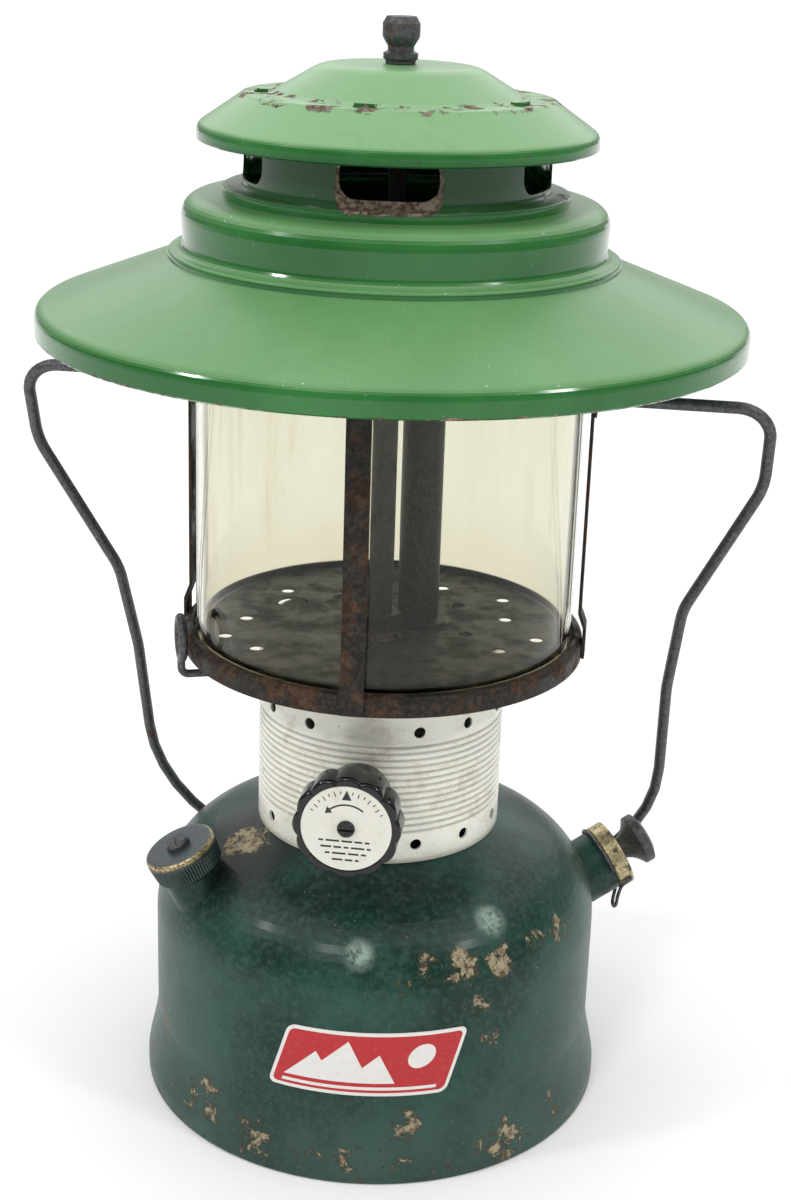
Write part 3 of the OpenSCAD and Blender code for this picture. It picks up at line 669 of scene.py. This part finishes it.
def knob_marks():
    """The dial's marks: a pointer, ticks, an arrow that shows which way opens, and plain rules."""
    where = axis_frame("control_knob_turn")
    pointer = [(-1.5, 9.6), (1.5, 9.6), (0, 12.9)]
    shapes = [pointer]
    tick_gap, tick_end = 9, 12.6
    for k in (*range(-7, 0), *range(1, 8)):
        a = math.radians(90 + k * tick_gap)
        long = 1.6 if k % 2 == 0 else 1.0
        r = tick_end - long / 2
        shapes.append(bar(r * math.cos(a), r * math.sin(a), long, 0.32, math.degrees(a)))
    start, end = 50, 130
    shapes.append(circle(0, 0, 8.3, start, end, 16) + circle(0, 0, 7.75, end, start, 16))
    tip = math.radians(end)
    head = ((6.7, tip), (9.3, tip), (8.2, tip + 0.26))
    shapes.append([(r * math.cos(a), r * math.sin(a)) for r, a in head])
    for row, (y, w) in enumerate(((-4.3, 17.0), (-6.4, 15.6), (-8.5, 12.8), (-10.6, 8.4))):
        x = -w / 2
        dash = 0
        while x < w / 2 - 0.8:
            long = min(1.5 + 0.9 * ((dash * 3 + row * 2) % 4), w / 2 - x)
            shapes.append(bar(x + long / 2, y, long, 0.62))
            x += long + 0.75
            dash += 1
    ink = plain("printed_ink", (0.008, 0.008, 0.008), (0.035, 0.032, 0.030), 1.0 * MM, (0.45, 0.7))
    points, faces = flat_shapes(shapes, KNOB_FACE, 0.03)
    add_piece("knob_dial_marks", points, faces, "bakelite", "knob_spindle", where, ink)


# ---------- label ----------
def label():
    """A plain enamelled plate with a border and a small landscape, bent round the tank."""
    low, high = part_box("tank_label")
    middle = (low + high) / 2
    tank_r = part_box("tank_shell")[1].x
    turn = math.radians(7)
    wide, tall, lean = 58.5, 23.0, 7.0
    cut = 3.0

    def bent(outline, lift, thick, name, material):
        """A plate of that outline, leaning, cut into strips and bent round the tank, lift mm off it."""
        mesh = bmesh.new()
        mesh.faces.new([mesh.verts.new((x + lean * y / tall, y, 0)) for x, y in outline])
        for k in range(-10, 11):
            bmesh.ops.bisect_plane(mesh, geom=mesh.verts[:] + mesh.edges[:] + mesh.faces[:],
                                   plane_co=(k * cut, 0, 0), plane_no=(1, 0, 0))
        extruded = bmesh.ops.extrude_face_region(mesh, geom=mesh.faces[:])
        for v in extruded["geom"]:
            if isinstance(v, bmesh.types.BMVert):
                v.co.z += thick
        for v in mesh.verts:
            r = tank_r + (lift + v.co.z) * MM
            a = turn + v.co.x * MM / tank_r
            v.co = Vector((r * math.sin(a), -r * math.cos(a), middle.z + v.co.y * MM))
        mesh.verts.index_update()
        points = [tuple(v.co) for v in mesh.verts]
        faces = [tuple(v.index for v in f.verts) for f in mesh.faces]
        mesh.free()
        return add_piece(name, points, faces, "label_enamel", "lantern", None, material)

    def plate(w, h, r):
        """A rectangle with rounded corners."""
        corners = ((w / 2 - r, h / 2 - r, 0), (-w / 2 + r, h / 2 - r, 90), (-w / 2 + r, -h / 2 + r, 180),
                   (w / 2 - r, -h / 2 + r, 270))
        return [p for x, y, a in corners for p in circle(x, y, r, a, a + 90, 6)]

    white = label_enamel("label_white", (0.78, 0.76, 0.72), (0.58, 0.55, 0.50))
    backing = bent(plate(wide, tall, 2.6), 0.04, 0.34, "tank_label_border", white)
    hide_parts("tank_label")
    bent(plate(wide - 2.4, tall - 2.4, 1.8), 0.30, 0.12, "tank_label_field", finishes["label_enamel"])
    hills = [(-25, -6.8), (-17.5, 3.4), (-14.6, 0.2), (-8.5, 8.2), (-1.2, -1.2), (2.8, 3.6), (11, -6.8)]
    motif = {"tank_label_hills": hills, "tank_label_sun": circle(16.6, 2.8, 4.3, 0, 345, 23),
             "tank_label_rule": [(-25, -9.3), (25, -9.3), (25, -8.2), (-25, -8.2)]}
    for name, outline in motif.items():
        bent(outline, 0.38, 0.08, name, white)


bail()
base_skirt()
filler_cap()
pump_parts()
control_knob()
knob_marks()
label()


# ---------- floor, light and camera ----------
def floor():
    bpy.ops.mesh.primitive_plane_add(size=40)
    ground = bpy.context.object
    ground.name = "floor"
    s = Surface("floor", roughness=0.9)
    s.colour(s.mix(s.noise(0.4, 3), (0.93, 0.93, 0.93), (0.95, 0.95, 0.95)))
    ground.data.materials.append(s.material)


def soft_light(name, place, size, power, target=(0, 0, 0.2)):
    """A rectangular light that faces its target."""
    light = bpy.data.lights.new(name, "AREA")
    light.shape = "RECTANGLE"
    light.size, light.size_y = size
    light.energy = power
    lamp = bpy.data.objects.new(name, light)
    bpy.context.scene.collection.objects.link(lamp)
    lamp.location = place
    lamp.rotation_euler = (Vector(target) - Vector(place)).to_track_quat("-Z", "Y").to_euler()


def camera():
    """A level turn round the lantern, then the aim; distance and height are in metres."""
    turn, yaw, pitch, roll = (math.radians(a) for a in (7.75, 0.35, -19.8, 1.86))
    distance, height = 0.6109, 0.3925
    data = bpy.data.cameras.new("camera")
    data.lens = 58.82
    eye = bpy.data.objects.new("camera", data)
    bpy.context.scene.collection.objects.link(eye)
    look = Matrix.Rotation(turn - yaw, 4, "Z") @ Matrix.Rotation(math.pi / 2 + pitch, 4, "X")
    eye.matrix_world = (Matrix.Translation((distance * math.sin(turn), -distance * math.cos(turn), height))
                        @ look @ Matrix.Rotation(roll, 4, "Z"))
    bpy.context.scene.camera = eye


def lights():
    world = bpy.data.worlds.new("world")
    world.use_nodes = True
    world.node_tree.nodes["Background"].inputs["Color"].default_value = (1, 1, 1, 1)
    world.node_tree.nodes["Background"].inputs["Strength"].default_value = 0.30
    bpy.context.scene.world = world
    soft_light("ceiling", (0, 2.0, 3.5), (9, 9), 290, target=(0, 2.0, 0))
    soft_light("far_ceiling", (0, 11.0, 3.5), (14, 8), 520, target=(0, 11.0, 0))
    # Small windows at the camera's side: they give the enamel its sharp highlights
    for name, turn, width, power in (("window_left", -60, 0.16, 4.0), ("window_front", -16, 0.30, 5.0),
                                     ("window_right", 64, 0.22, 4.5)):
        a = math.radians(turn)
        soft_light(name, (1.3 * math.sin(a), -1.3 * math.cos(a), 1.1), (width, 0.13), power)


floor()
lights()
camera()
bpy.context.scene.view_settings.view_transform = "Standard"
